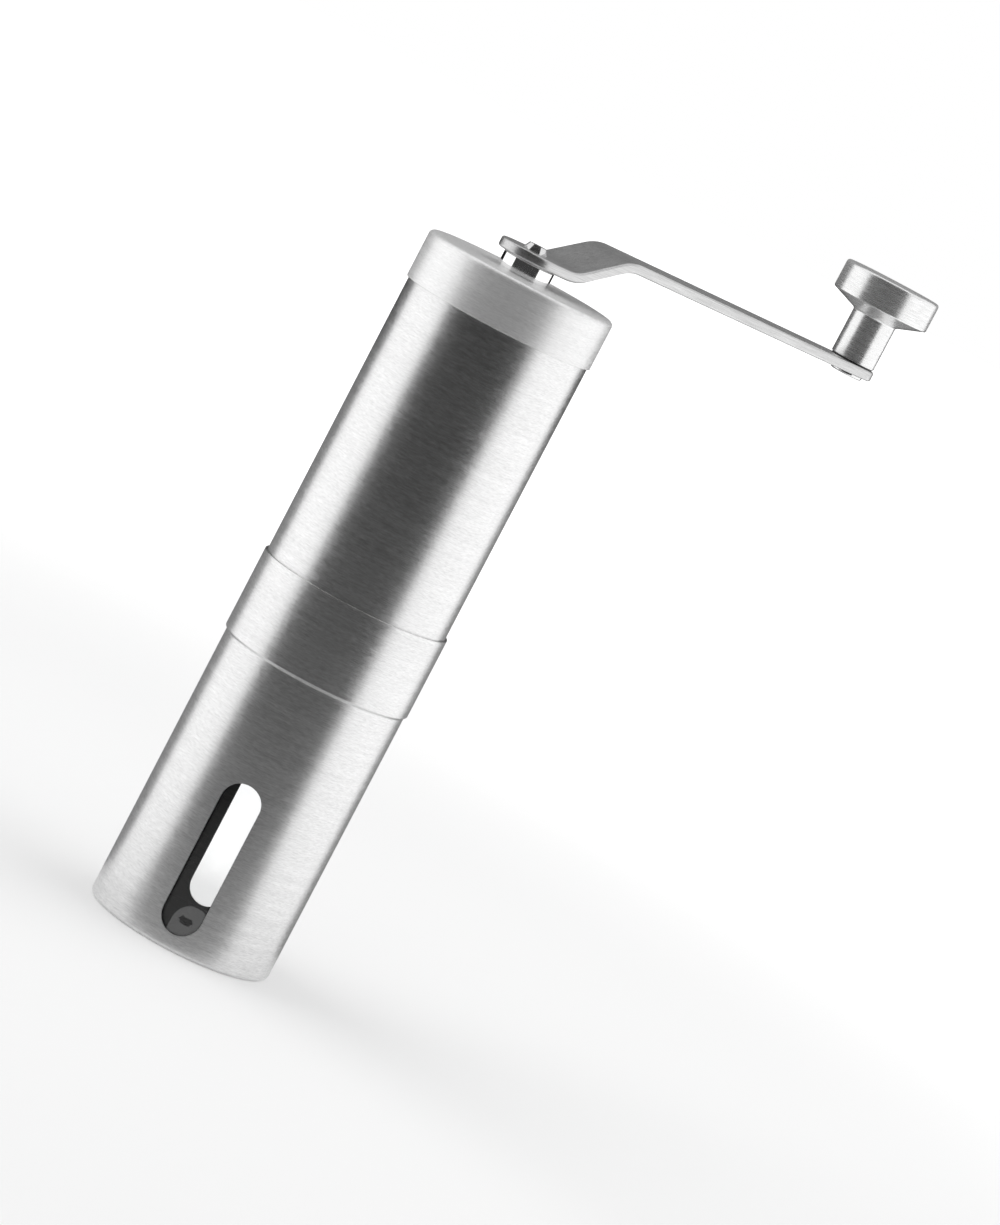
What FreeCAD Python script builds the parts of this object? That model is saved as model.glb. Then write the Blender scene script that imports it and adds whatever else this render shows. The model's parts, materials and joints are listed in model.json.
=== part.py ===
import FreeCAD, Part
import math
import os

# Hand crank coffee grinder: a steel barrel that holds the beans and the ceramic burrs,
# a steel cup with two windows that catches the grounds, a slip-on lid and a pull-off crank.
# Millimetres, +Z up along the grinding axis, origin at the centre of the cup's base,
# one window facing -Y.

V = FreeCAD.Vector
UP = V(0, 0, 1)
ORIGIN = V(0, 0, 0)
TINY = 1e-4

# Steel shells, all from the same sheet and telescoping one in the other
tube_dia = 47.0
sheet = 0.5
slip_gap = 0.1
cup_height = 92.0
socket_depth = 20.0
cup_corner = 1.0
foot_width = 3.0
base_recess = 1.8
barrel_length = 95.5
lid_height = 12.3
lid_corner = 1.2
edge_round = 0.12
turned_round = 0.3

# Windows of the cup, and the clear liner behind them
window_width = 10.0
window_length = 39.5
window_sill = 4.0
liner_wall = 1.2
liner_floor = 1.2
liner_gap = 0.1
liner_top_gap = 1.5
gate_dia = 5.0
gate_depth = 0.35

# Carrier moulding pressed into the barrel, which seats the ring burr and the shaft column
carrier_gap = 0.03
carrier_inset = 1.5
carrier_wall = 1.8
carrier_seat_wall = 3.9
carrier_round = 0.5
lip_width = 1.6
lip_height = 2.0
funnel_height = 6.5
hub_dia = 15.0
hub_height = 12.0
hub_round = 0.8
spoke_count = 3
spoke_width = 5.0
spoke_depth = 5.0
spoke_nose = 1.6
spoke_turn = 90.0
spoke_root = 0.5

# Ring burr, the teeth of both burrs, and the screws that hold the ring
ring_height = 15.0
ring_gap = 0.1
ring_fine_teeth = 36
ring_fine_depth = 0.6
ring_fine_twist = 8.0
ring_coarse_teeth = 12
ring_coarse_depth = 1.4
ring_coarse_twist = 18.0
ring_throat_rise = 3.5
ring_exit_wall = 3.15
ring_throat_wall = 5.2
ring_mouth_wall = 2.9
tooth_steep = 0.3
steps_per_tooth = 3
screw_count = 3
screw_head_dia = 4.4
screw_head_height = 1.2
screw_head_round = 0.7
screw_dia = 2.2
screw_length = 6.0
screw_overlap = 0.5
screw_gap = 0.05

# Inner burr: a bell with a plain land, fine slanting teeth, then broad spiral flutes to the nose
burr_height = 17.5
burr_nose_wall = 1.7
burr_land = 1.2
burr_waist_rise = 8.0
burr_waist_share = 0.28
burr_fine_teeth = 44
burr_fine_depth = 0.6
burr_fine_twist = -24.0
burr_flutes = 7
burr_flute_depth = 1.7
burr_flute_twist = -75.0
burr_flute_skew = 1.6
burr_flute_points = 6
burr_flute_steps = 5
burr_blend_depth = 0.1
burr_overhang = 0.8
burr_clearance = 0.35
adjust_travel = 1.5

# Core of the inner burr: a flange, a sleeve and barbed prongs that clip over the nose
core_gap = 0.1
core_dia = 12.0
core_bore = 6.4
core_flange_dia = 22.0
core_flange = 2.5
prong_height = 4.6
prong_barb = 0.9
barb_rise = 1.8
barb_gap = 0.1
prong_slot = 2.6
slot_depth = 1.0

# Adjusting nut with finger lobes, and its brass insert
nut_dia = 34.0
nut_lobes = 6
nut_lobe_depth = 2.4
nut_lobe_round = 3.0
nut_hollow_radius = 7.0
nut_disc = 6.0
nut_disc_round = 1.0
nut_hub_dia = 19.6
nut_hub = 3.0
nut_hub_groove = 0.6
nut_gap = 0.05
nut_notches = 12
nut_notch_depth = 0.5
nut_notch_width = 1.0
nut_notch_inset = 1.2
insert_dia = 9.6
insert_gap = 0.03
thread_gap = 0.06

# Shaft, its cross pin, bushes, column, washers and drive collar
shaft_dia = 6.0
shaft_end_drop = 10.3
shaft_end_round = 0.75
running_gap = 0.05
stub_across = 5.5
stub_sides = 6
stub_proud = 1.6
stub_taper = 1.6
stub_tip_dia = 4.4
stub_tip_round = 0.5
pin_dia = 2.0
pin_length = 11.0
pin_gap = 0.2
bush_dia = 9.0
bush_gap = 0.03
bush_length = 9.0
bush_flange_dia = 12.2
bush_flange = 1.8
bush_groove = 0.4
column_dia = 12.2
column_gap = 0.05
column_seat = 5.0
column_rise = 4.4
washer_dia = 11.0
washer_thick = 0.5
drive_collar_dia = 11.6
drive_collar_thick = 1.5

# Pressure spring above the inner burr, and its seat washer
seat_dia = 12.4
seat_thick = 1.0
spring_length = 8.5
spring_wire = 1.1
spring_dia = 10.6
spring_turns = 3.5
spring_end_gap = 0.1
gap_points = 240

# Inside of the lid, and the bright collar that the crank rides on
lid_clear = 0.4
insert_lip = 3.0
insert_lip_gap = 0.1
insert_wall = 1.5
insert_hole_gap = 0.5
collar_dia = 13.0
collar_bore = 8.0
collar_spigot = 1.2
collar_height = 3.8
collar_round = 0.5

# Crank: a bent strip with a six-sided hole, and a turned knob on a riveted spindle
crank_reach = 110.0
crank_rest_angle = 45.0
arm_thick = 2.5
arm_hub_width = 17.0
arm_end_width = 12.5
arm_fold_start = 9.0
arm_fold_run = 14.0
arm_rise = 8.2
arm_bend_radius = 10.0
arm_edge_round = 0.5
stub_gap = 0.12
knob_stem_dia = 11.6
knob_stem = 11.8
knob_cone = 2.6
knob_dia = 25.5
knob_disc = 7.5
knob_edge = 0.8
knob_neck_round = 0.6
knob_washer_thick = 0.4
knob_washer_inset = 0.3
spindle_dia = 5.0
spindle_length = 16.0
spindle_head_dia = 8.4
spindle_head = 0.9
spindle_head_round = 0.5
clip_dia = 7.4
clip_thick = 0.8
clip_drop = 2.0
clip_groove = 0.5
clip_gap = 0.2
press_gap = 0.02

# How far a cutting tool or a joined boss runs past the face it meets
past = 1.0

# Radii and heights that follow from the sizes above
tube_radius = tube_dia / 2
tube_bore = tube_radius - sheet
socket_radius = tube_radius + slip_gap
barrel_low = cup_height - socket_depth
rim = barrel_low + barrel_length
liner_low = base_recess + sheet

burr_base = barrel_low - burr_overhang
burr_top = burr_base + burr_height
prong_top = burr_top + prong_height
seat_top = prong_top + seat_thick
spring_top = seat_top + spring_length
hub_low = spring_top + bush_flange
hub_top = hub_low + hub_height

carrier_low = barrel_low + carrier_inset
lip_low = carrier_low + ring_height
lip_top = lip_low + lip_height
carrier_top = hub_low + spoke_depth
seat_radius = tube_bore - carrier_gap - carrier_seat_wall
ring_radius = seat_radius - ring_gap
ring_exit = ring_radius - ring_exit_wall

burr_base_radius = ring_exit - burr_clearance
burr_nose_radius = core_dia / 2 + core_gap + burr_nose_wall + burr_flute_depth
burr_waist_radius = burr_nose_radius + (burr_base_radius - burr_nose_radius) * burr_waist_share

column_low = hub_top - column_seat
column_top = rim + column_rise
upper_flange_top = column_top + bush_flange
collar_low = upper_flange_top + washer_thick
collar_top = collar_low + drive_collar_thick

plate_low = collar_top + lid_clear
lid_top = plate_low + sheet
arm_low = lid_top + collar_height
arm_top = arm_low + arm_rise + arm_thick

shaft_low = barrel_low - shaft_end_drop
stub_top = arm_low + arm_thick + stub_proud
stub_corner = stub_across / 2 / math.cos(math.pi / stub_sides)

nut_top = burr_base - nut_gap
nut_disc_top = nut_top - nut_hub
nut_low = nut_disc_top - nut_disc

slot_floor = burr_top - slot_depth
pin_height = slot_floor + pin_gap + adjust_travel + pin_dia / 2

knob_low = arm_top + knob_washer_thick
spindle_top = arm_top + spindle_length
clip_high = spindle_top - clip_drop
clip_low = clip_high - clip_thick


# Helpers for profiles and solids of revolution


def polar(radius, degrees, height=0.0):
    """A point at that radius and angle about the grinding axis."""
    angle = math.radians(degrees)
    return V(radius * math.cos(angle), radius * math.sin(angle), height)


def rounded_wire(corners):
    """A closed wire in the XZ plane through (x, z) corners; a third number rounds that corner."""
    points = [V(c[0], 0, c[1]) for c in corners]
    radii = [c[2] if len(c) > 2 else 0.0 for c in corners]
    spans = []
    for i, corner in enumerate(points):
        if radii[i] == 0.0:
            spans.append((corner, None, corner))
            continue
        back = (points[i - 1] - corner).normalize()
        ahead = (points[(i + 1) % len(points)] - corner).normalize()
        half = back.getAngle(ahead) / 2
        reach = radii[i] / math.tan(half)
        inward = (back + ahead).normalize()
        middle = corner + inward * (radii[i] / math.sin(half) - radii[i])
        spans.append((corner + back * reach, middle, corner + ahead * reach))
    edges = []
    for i, (start, middle, end) in enumerate(spans):
        if middle is not None:
            edges.append(Part.Arc(start, middle, end).toShape())
        following = spans[(i + 1) % len(spans)][0]
        if end.distanceToPoint(following) > 1e-6:
            edges.append(Part.LineSegment(end, following).toShape())
    return Part.Wire(edges)


def turned(corners):
    """A solid turned about the grinding axis from a closed (radius, height) profile."""
    return Part.Face(rounded_wire(corners)).revolve(ORIGIN, UP, 360)


def ring(outer, inner, low, high):
    """A plain tube between two radii and two heights."""
    return turned([(inner, low), (outer, low), (outer, high), (inner, high)])


def rod(radius, low, high):
    """A plain round bar along the grinding axis."""
    return Part.makeCylinder(radius, high - low, V(0, 0, low), UP)


def polygon_prism(sides, circumradius, low, high, turn):
    """A regular prism along the grinding axis; turn is the direction that one flat faces."""
    first = turn + 180.0 / sides
    points = [polar(circumradius, first + 360.0 * i / sides, low) for i in range(sides)]
    face = Part.Face(Part.makePolygon(points + points[:1]))
    return face.extrude(V(0, 0, high - low))


def between(start, end, share):
    """The value at a share of the way from start to end."""
    return start + (end - start) * share


def toothed_section(height, root, tip, teeth, twist, valley):
    """A closed section of straight-sided teeth; valley is the root's share of the way to the next tip."""
    pitch = 360.0 / teeth
    points = []
    for i in range(teeth):
        points.append(polar(tip, twist + pitch * i, height))
        points.append(polar(root, twist + pitch * (i + valley), height))
    return Part.makePolygon(points + points[:1])


def toothed_body(low, high, tip, depth, teeth, twist, valley):
    """A solid of leaning teeth; tip and depth give their size at a share of the way from low to high.

    A depth below zero makes the teeth of a cavity.
    """
    steps = 1 + int(abs(twist) / 360.0 * teeth * steps_per_tooth)
    sections = []
    for i in range(steps + 1):
        share = i / steps
        height = between(low, high, share)
        root = tip(share) - depth(share)
        sections.append(toothed_section(height, root, tip(share), teeth, twist * share, valley))
    faces = [Part.Face(sections[0]), Part.Face(sections[-1])]
    for i in range(steps):
        faces.extend(Part.makeRuledSurface(sections[i], sections[i + 1]).Faces)
    skin = Part.makeShell(faces)
    skin.sewShape()
    body = Part.makeSolid(skin)
    if body.Volume < 0:
        body.reverse()
    return body


def fluted_section(height, depth, tip, flutes, twist):
    """A closed section of flutes, each a long slope in from one ridge and a short one out to the next."""
    pitch = 360.0 / flutes
    edges = []
    for i in range(flutes):
        points = []
        for k in range(burr_flute_points + 1):
            share = k / burr_flute_points
            sink = depth * math.sin(math.pi * share**burr_flute_skew)
            points.append(polar(tip - sink, twist + pitch * (i + share), height))
        curve = Part.BSplineCurve()
        curve.interpolate(points)
        edges.append(curve.toShape())
    return Part.Wire(edges)


def is_upright(edge):
    """True for a straight edge along Z."""
    box = edge.BoundBox
    return box.ZLength > TINY and box.XLength < TINY and box.YLength < TINY


def is_level(edge):
    """True for an edge that lies in a level plane."""
    return edge.BoundBox.ZLength < TINY


def is_at_radius(edge, radius):
    """True where the middle of the edge is at that radius from the grinding axis."""
    middle = edge.BoundBox.Center
    return abs(math.hypot(middle.x, middle.y) - radius) < TINY


def crosses_strip(edge):
    """True for an edge across the crank's strip, where one bend or end meets the next."""
    box = edge.BoundBox
    return box.XLength < TINY and box.YMin < -TINY and box.YMax > TINY


def drive_prism(low, high, gap=0.0):
    """The six-sided drive, one flat towards -Y."""
    return polygon_prism(stub_sides, stub_corner + gap, low, high, -90.0)


# Cup


def cup_shell():
    """Drawn steel cup: recessed base on a foot, plain wall, then a step out to the barrel's socket."""
    step = socket_radius - tube_bore
    outer_socket = socket_radius + sheet
    foot = tube_radius - foot_width
    shell = turned(
        [
            (0, base_recess),
            (foot, base_recess),
            (foot, 0, sheet / 2),
            (tube_radius, 0, cup_corner),
            (tube_radius, barrel_low - sheet - step),
            (outer_socket, barrel_low - sheet),
            (outer_socket, cup_height, edge_round),
            (socket_radius, cup_height, edge_round),
            (socket_radius, barrel_low),
            (tube_bore, barrel_low),
            (tube_bore, sheet, cup_corner - sheet),
            (foot + sheet, sheet),
            (foot + sheet, liner_low),
            (0, liner_low),
        ]
    )
    return shell.cut(window_cutter())


def window_cutter():
    """A round-ended slot that cuts both walls of the cup along Y."""
    half = window_width / 2
    sill = window_sill
    head = window_sill + window_length
    left_low = V(-half, 0, sill + half)
    right_low = V(half, 0, sill + half)
    left_high = V(-half, 0, head - half)
    right_high = V(half, 0, head - half)
    outline = Part.Wire(
        [
            Part.Arc(left_low, V(0, 0, sill), right_low).toShape(),
            Part.LineSegment(right_low, right_high).toShape(),
            Part.Arc(right_high, V(0, 0, head), left_high).toShape(),
            Part.LineSegment(left_high, left_low).toShape(),
        ]
    )
    slot = Part.Face(outline)
    slot.translate(V(0, -tube_dia, 0))
    return slot.extrude(V(0, 2 * tube_dia, 0))


def window_liner():
    """Clear cup behind the windows, with the moulding gate's dimple in its floor."""
    outer = tube_bore - liner_gap
    inner = outer - liner_wall
    top = barrel_low - liner_top_gap
    floor = liner_low + liner_floor
    liner = turned(
        [
            (0, liner_low),
            (outer, liner_low, liner_wall),
            (outer, top, edge_round),
            (inner, top, edge_round),
            (inner, floor, liner_wall / 2),
            (0, floor),
        ]
    )
    return liner.cut(rod(gate_dia / 2, floor - gate_depth, floor + gate_depth))


# Barrel and what is fixed in it


def barrel_shell():
    """Plain steel tube with softened edges."""
    return turned(
        [
            (tube_bore, barrel_low),
            (tube_radius, barrel_low, edge_round),
            (tube_radius, rim, edge_round),
            (tube_bore, rim, edge_round),
        ]
    )


def burr_carrier():
    """Sleeve with the ring burr's seat, a funnel above it, and spokes to the shaft's hub."""
    outer = tube_bore - carrier_gap
    mouth = outer - carrier_wall
    lip = seat_radius - lip_width
    sleeve = turned(
        [
            (seat_radius, carrier_low),
            (outer, carrier_low),
            (outer, carrier_top, carrier_round),
            (mouth, carrier_top, carrier_round),
            (mouth, lip_top + funnel_height),
            (lip, lip_top),
            (lip, lip_low),
            (seat_radius, lip_low),
        ]
    )
    hub = turned(
        [
            (bush_dia / 2 + bush_gap, hub_low),
            (hub_dia / 2, hub_low, hub_round),
            (hub_dia / 2, hub_top, hub_round),
            (column_dia / 2 + column_gap, hub_top),
            (column_dia / 2 + column_gap, column_low),
            (bush_dia / 2 + bush_gap, column_low),
        ]
    )
    spokes = [carrier_spoke(spoke_turn + 360.0 * i / spoke_count) for i in range(spoke_count)]
    carrier = sleeve.fuse([hub] + spokes).removeSplitter()
    for i in range(screw_count):
        carrier = carrier.cut(screw_hole(i))
    return carrier


def carrier_spoke(turn):
    """One spoke with a nosed upper edge, so that beans run off it into the burrs."""
    inner = hub_dia / 2 - spoke_root
    outer = tube_bore - carrier_gap - carrier_wall + spoke_root
    half = spoke_width / 2
    blade = Part.Face(
        rounded_wire(
            [
                (-half, hub_low),
                (half, hub_low),
                (half, hub_low + spoke_depth - spoke_nose),
                (0, hub_low + spoke_depth, spoke_nose / 2),
                (-half, hub_low + spoke_depth - spoke_nose),
            ]
        )
    )
    blade.translate(V(0, inner, 0))
    spoke = blade.extrude(V(0, outer - inner, 0))
    spoke.rotate(ORIGIN, UP, turn - 90.0)
    return spoke


def screw_place(index):
    """Centre of one ring burr screw, whose head laps the edge of the ring."""
    radius = ring_radius + screw_head_dia / 2 - screw_overlap
    return polar(radius, spoke_turn + 360.0 * (index + 0.5) / screw_count)


def screw_hole(index):
    """Blind hole for one ring burr screw, from the carrier's lower face."""
    depth = screw_length + screw_gap
    return Part.makeCylinder(
        screw_dia / 2 + screw_gap, depth, screw_place(index) + V(0, 0, carrier_low), UP
    )


def ring_screws():
    """Small domed screws that hold the ring burr up against its lip."""
    head = turned(
        [
            (0, carrier_low - screw_head_height),
            (screw_head_dia / 2, carrier_low - screw_head_height, screw_head_round),
            (screw_head_dia / 2, carrier_low),
            (0, carrier_low),
        ]
    )
    screw = head.fuse(rod(screw_dia / 2, carrier_low, carrier_low + screw_length)).removeSplitter()
    screws = []
    for i in range(screw_count):
        copy = screw.copy()
        copy.translate(screw_place(i))
        screws.append(copy)
    return Part.makeCompound(screws)


def ring_burr():
    """Ceramic ring: fine teeth from its exit in to a throat, then coarse teeth out to its mouth."""
    throat_height = carrier_low + ring_throat_rise
    throat = ring_radius - ring_throat_wall
    mouth = ring_radius - ring_mouth_wall
    fine = toothed_body(
        carrier_low,
        throat_height,
        lambda share: between(ring_exit, throat, share),
        lambda share: -ring_fine_depth,
        ring_fine_teeth,
        ring_fine_twist,
        tooth_steep,
    )
    coarse = toothed_body(
        throat_height,
        lip_low,
        lambda share: between(throat, mouth, share),
        lambda share: -ring_coarse_depth,
        ring_coarse_teeth,
        ring_coarse_twist,
        tooth_steep,
    )
    return rod(ring_radius, carrier_low, lip_low).cut(fine.fuse(coarse))


def shaft_column():
    """Tube that keeps beans off the shaft and carries the upper bush above the rim."""
    return turned(
        [
            (bush_dia / 2 + bush_gap, column_low),
            (column_dia / 2, column_low),
            (column_dia / 2, column_top),
            (bush_dia / 2 + bush_gap, column_top),
        ]
    )


def lower_bush():
    """Flanged bush pressed up into the carrier's hub; the spring bears on its flange."""
    bore = shaft_dia / 2 + running_gap
    return turned(
        [
            (bore, spring_top),
            (bush_flange_dia / 2, spring_top, turned_round),
            (bush_flange_dia / 2, hub_low),
            (bush_dia / 2, hub_low),
            (bush_dia / 2, column_low),
            (bore, column_low),
        ]
    )


def upper_bush():
    """Flanged bush in the top of the column; a groove splits its flange into two rings."""
    bore = shaft_dia / 2 + running_gap
    edge = bush_flange_dia / 2
    middle = column_top + bush_flange / 2
    return turned(
        [
            (bore, column_top - bush_length),
            (bush_dia / 2, column_top - bush_length),
            (bush_dia / 2, column_top),
            (edge, column_top),
            (edge, middle - bush_groove / 2),
            (edge - bush_groove, middle),
            (edge, middle + bush_groove / 2),
            (edge, upper_flange_top),
            (bore, upper_flange_top),
        ]
    )


# Shaft and what turns with it


def shaft():
    """Round bar, screw-cut at its lower end, with a six-sided upper end that tapers to its tip."""
    radius = shaft_dia / 2
    bar = turned(
        [
            (0, shaft_low),
            (radius, shaft_low, shaft_end_round),
            (radius, collar_top),
            (0, collar_top),
        ]
    )
    tip = turned(
        [
            (0, collar_top),
            (stub_corner, collar_top),
            (stub_corner, stub_top - stub_taper),
            (stub_tip_dia / 2, stub_top, stub_tip_round),
            (0, stub_top),
        ]
    )
    stub = drive_prism(collar_top, stub_top).common(tip)
    hole = Part.makeCylinder(
        pin_dia / 2 + press_gap, shaft_dia, V(-radius, 0, pin_height), V(1, 0, 0)
    )
    return bar.fuse(stub).removeSplitter().cut(hole)


def drive_pin():
    """Cross pin that turns the inner burr through the slots between its prongs."""
    return Part.makeCylinder(pin_dia / 2, pin_length, V(-pin_length / 2, 0, pin_height), V(1, 0, 0))


def thrust_washer():
    """Thin nylon washer between the upper bush and the drive collar."""
    return ring(washer_dia / 2, shaft_dia / 2 + running_gap, upper_flange_top, collar_low)


def drive_collar():
    """Steel collar on the shaft, which hangs on the upper bush and carries the crank."""
    return turned(
        [
            (shaft_dia / 2 + press_gap, collar_low),
            (drive_collar_dia / 2, collar_low, turned_round),
            (drive_collar_dia / 2, collar_top, turned_round),
            (shaft_dia / 2 + press_gap, collar_top),
        ]
    )


def spring_seat():
    """Washer between the spring and the prongs; the cross pin keeps it on the shaft."""
    return turned(
        [
            (shaft_dia / 2 + core_gap, prong_top),
            (seat_dia / 2, prong_top, turned_round),
            (seat_dia / 2, seat_top, turned_round),
            (shaft_dia / 2 + core_gap, seat_top),
        ]
    )


def biarc_edges(start, start_way, end, end_way):
    """Two tangent arcs from one point and direction to another."""
    chord = end - start
    ways = start_way + end_way
    squared = 2 * (1 - start_way.dot(end_way))
    along = chord.dot(ways)
    reach = (math.sqrt(along * along + squared * chord.dot(chord)) - along) / squared
    leaving = start + start_way * reach
    arriving = end - end_way * reach
    joint = (leaving + arriving) * 0.5
    joint_way = (arriving - leaving).normalize()
    return [tangent_arc(start, start_way, joint), tangent_arc(joint, joint_way, end)]


def tangent_arc(start, way, end):
    """The arc that leaves start along way and passes through end."""
    chord = end - start
    across = chord - way * chord.dot(way)
    radius = chord.dot(chord) / (2 * across.Length)
    centre = start + across.normalize() * radius
    middle = centre + ((start + end) * 0.5 - centre).normalize() * radius
    return Part.Arc(start, middle, end).toShape()


def pressure_spring():
    """Helical spring as one unbroken wire, from the seat washer to the lower bush."""
    mean = (spring_dia - spring_wire) / 2
    low = seat_top + spring_end_gap + spring_wire / 2
    climb = spring_length - 2 * spring_end_gap - spring_wire
    steps = int(round(spring_turns * 4))
    rise_per_radian = climb / (spring_turns * 2 * math.pi)

    def place(step):
        return polar(mean, 360.0 * spring_turns * step / steps, low + climb * step / steps)

    def way(step):
        side = polar(mean, 360.0 * spring_turns * step / steps + 90.0)
        return (side + V(0, 0, rise_per_radian)).normalize()

    edges = []
    for step in range(steps):
        edges += biarc_edges(place(step), way(step), place(step + 1), way(step + 1))
    path = Part.Wire(edges)
    print("spring: least gap between turns", round(least_gap(path, 2 * mean) - spring_wire, 3))
    section = Part.Wire(Part.Circle(place(0), way(0), spring_wire / 2).toShape())
    return path.makePipeShell([section], True, False)


def least_gap(path, apart):
    """Least distance between points of a path that are at least that far apart along it."""
    step = path.Length / gap_points
    points = path.discretize(Number=gap_points + 1)
    skip = int(apart / step) + 1
    return min(
        a.distanceToPoint(b) for i, a in enumerate(points) for b in points[i + skip :]
    )


# Inner burr and adjusting nut


def inner_burr():
    """Ceramic bell: plain land, fine slanting teeth on the flare, broad spiral flutes to the nose.

    The teeth and the flutes both run out to almost nothing at the waist, where they meet.
    """
    land_top = burr_base + burr_land
    waist = burr_base + burr_waist_rise
    land = rod(burr_base_radius, burr_base, land_top)
    teeth = toothed_body(
        land_top,
        waist,
        lambda share: between(burr_waist_radius, burr_base_radius, (1 - share) ** 2),
        lambda share: between(burr_fine_depth, burr_blend_depth, share**2),
        burr_fine_teeth,
        burr_fine_twist,
        1 - tooth_steep,
    )
    sections = []
    for i in range(burr_flute_steps + 1):
        share = i / burr_flute_steps
        height = between(waist, burr_top, share)
        tip = between(burr_waist_radius, burr_nose_radius, share)
        depth = between(burr_blend_depth, burr_flute_depth, share)
        twist = burr_fine_twist + burr_flute_twist * share
        sections.append(fluted_section(height, depth, tip, burr_flutes, twist))
    flutes = Part.makeLoft(sections, True, False)
    bell = land.fuse([teeth, flutes])
    bore = rod(core_dia / 2 + core_gap, burr_base, burr_top)
    recess = rod(core_flange_dia / 2 + core_gap, burr_base, burr_base + core_flange)
    return bell.cut(bore.fuse(recess)).removeSplitter()


def burr_core():
    """Moulded core of the inner burr, with slotted prongs whose barbs clip over the nose."""
    outer = core_dia / 2
    core = turned(
        [
            (core_bore / 2, burr_base),
            (core_flange_dia / 2, burr_base),
            (core_flange_dia / 2, burr_base + core_flange),
            (outer, burr_base + core_flange),
            (outer, burr_top + barb_gap),
            (outer + prong_barb, burr_top + barb_gap),
            (outer + prong_barb, burr_top + barb_rise),
            (outer - prong_barb, prong_top, turned_round),
            (core_bore / 2, prong_top),
        ]
    )
    for turn in (0.0, 90.0):
        slot = Part.makeBox(
            2 * core_dia,
            prong_slot,
            prong_height + slot_depth,
            V(-core_dia, -prong_slot / 2, slot_floor),
        )
        slot.rotate(ORIGIN, UP, turn)
        core = core.cut(slot)
    return core


def adjust_nut():
    """Lobed finger nut with a grooved hub, whose upper face has the click notches."""
    radius = nut_dia / 2
    disc = rod(radius, nut_low, nut_disc_top)
    scoop = rod(nut_hollow_radius, nut_low - past, nut_disc_top + past)
    for i in range(nut_lobes):
        hollow = scoop.copy()
        turn = 360.0 * (i + 0.5) / nut_lobes - 90.0
        hollow.translate(polar(radius - nut_lobe_depth + nut_hollow_radius, turn))
        disc = disc.cut(hollow)
    corners = [e for e in disc.Edges if is_upright(e) and is_at_radius(e, radius)]
    disc = disc.makeFillet(nut_lobe_round, corners)
    rims = [e for e in disc.Edges if is_level(e)]
    disc = disc.makeFillet(nut_disc_round, rims)
    edge = nut_hub_dia / 2
    middle = nut_disc_top + nut_hub / 2
    hub = turned(
        [
            (0, nut_disc_top - past),
            (edge - nut_hub_groove, nut_disc_top - past),
            (edge - nut_hub_groove, middle),
            (edge, middle + nut_hub_groove),
            (edge, nut_top),
            (0, nut_top),
        ]
    )
    nut = disc.fuse(hub).removeSplitter()
    nut = nut.cut(rod(insert_dia / 2 + insert_gap, nut_low - past, nut_top + past))
    return nut.cut(Part.makeCompound([nut_notch(i) for i in range(nut_notches)]))


def nut_notch(index):
    """One radial click notch across the nut's hub face."""
    half = nut_notch_width / 2
    left = V(-half, 0, nut_top)
    right = V(half, 0, nut_top)
    bottom = V(0, 0, nut_top - nut_notch_depth)
    wedge = Part.Face(Part.makePolygon([left, bottom, right, left]))
    inner = insert_dia / 2 + nut_notch_inset
    wedge.translate(V(0, inner, 0))
    notch = wedge.extrude(V(0, nut_hub_dia / 2 - inner + past, 0))
    notch.rotate(ORIGIN, UP, 360.0 * (index + 0.5) / nut_notches)
    return notch


def nut_insert():
    """Brass insert moulded into the nut."""
    return ring(insert_dia / 2, shaft_dia / 2 + thread_gap, nut_low, nut_top)


# Lid


def spigot_radius():
    """Radius of the collar's spigot in the lid's hole."""
    return collar_bore / 2 + collar_spigot


def lid_shell():
    """Spun steel cap whose skirt slips over the barrel."""
    inner = socket_radius
    outer = inner + sheet
    hole = spigot_radius() + press_gap
    low = lid_top - lid_height
    return turned(
        [
            (hole, plate_low),
            (inner, plate_low, lid_corner - sheet),
            (inner, low, edge_round),
            (outer, low, edge_round),
            (outer, lid_top, lid_corner),
            (hole, lid_top),
        ]
    )


def lid_insert():
    """Moulding bonded in the lid: it sits on the barrel's rim, with a lip inside the barrel."""
    outer = socket_radius - press_gap
    lip = tube_bore - insert_lip_gap
    inner = lip - insert_wall
    hole = bush_flange_dia / 2 + insert_hole_gap
    ceiling = plate_low - insert_wall
    return turned(
        [
            (hole, plate_low),
            (outer, plate_low, lid_corner),
            (outer, rim),
            (lip, rim),
            (lip, rim - insert_lip, edge_round),
            (inner, rim - insert_lip, edge_round),
            (inner, ceiling),
            (hole, ceiling),
        ]
    )


def lid_collar():
    """Bright collar pressed into the lid round the drive; the crank's hub rides on it."""
    bore = collar_bore / 2
    return turned(
        [
            (bore, plate_low),
            (spigot_radius(), plate_low),
            (spigot_radius(), lid_top),
            (collar_dia / 2, lid_top),
            (collar_dia / 2, arm_low, collar_round),
            (bore, arm_low),
        ]
    )


# Crank


def at_crank_angle(shape):
    """Turns a piece modelled along +X to the crank's resting direction."""
    shape.rotate(ORIGIN, UP, crank_rest_angle)
    return shape


def arm_outline():
    """Plan of the crank arm: two round ends joined by straight tapering sides."""
    hub = arm_hub_width / 2
    end = arm_end_width / 2
    lean = math.degrees(math.acos((hub - end) / crank_reach))
    far = V(crank_reach, 0, 0)
    hub_left = polar(hub, lean)
    hub_right = polar(hub, -lean)
    end_left = far + polar(end, lean)
    end_right = far + polar(end, -lean)
    return Part.Wire(
        [
            Part.Arc(hub_left, V(-hub, 0, 0), hub_right).toShape(),
            Part.LineSegment(hub_right, end_right).toShape(),
            Part.Arc(end_right, far + V(end, 0, 0), end_left).toShape(),
            Part.LineSegment(end_left, hub_left).toShape(),
        ]
    )


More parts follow.
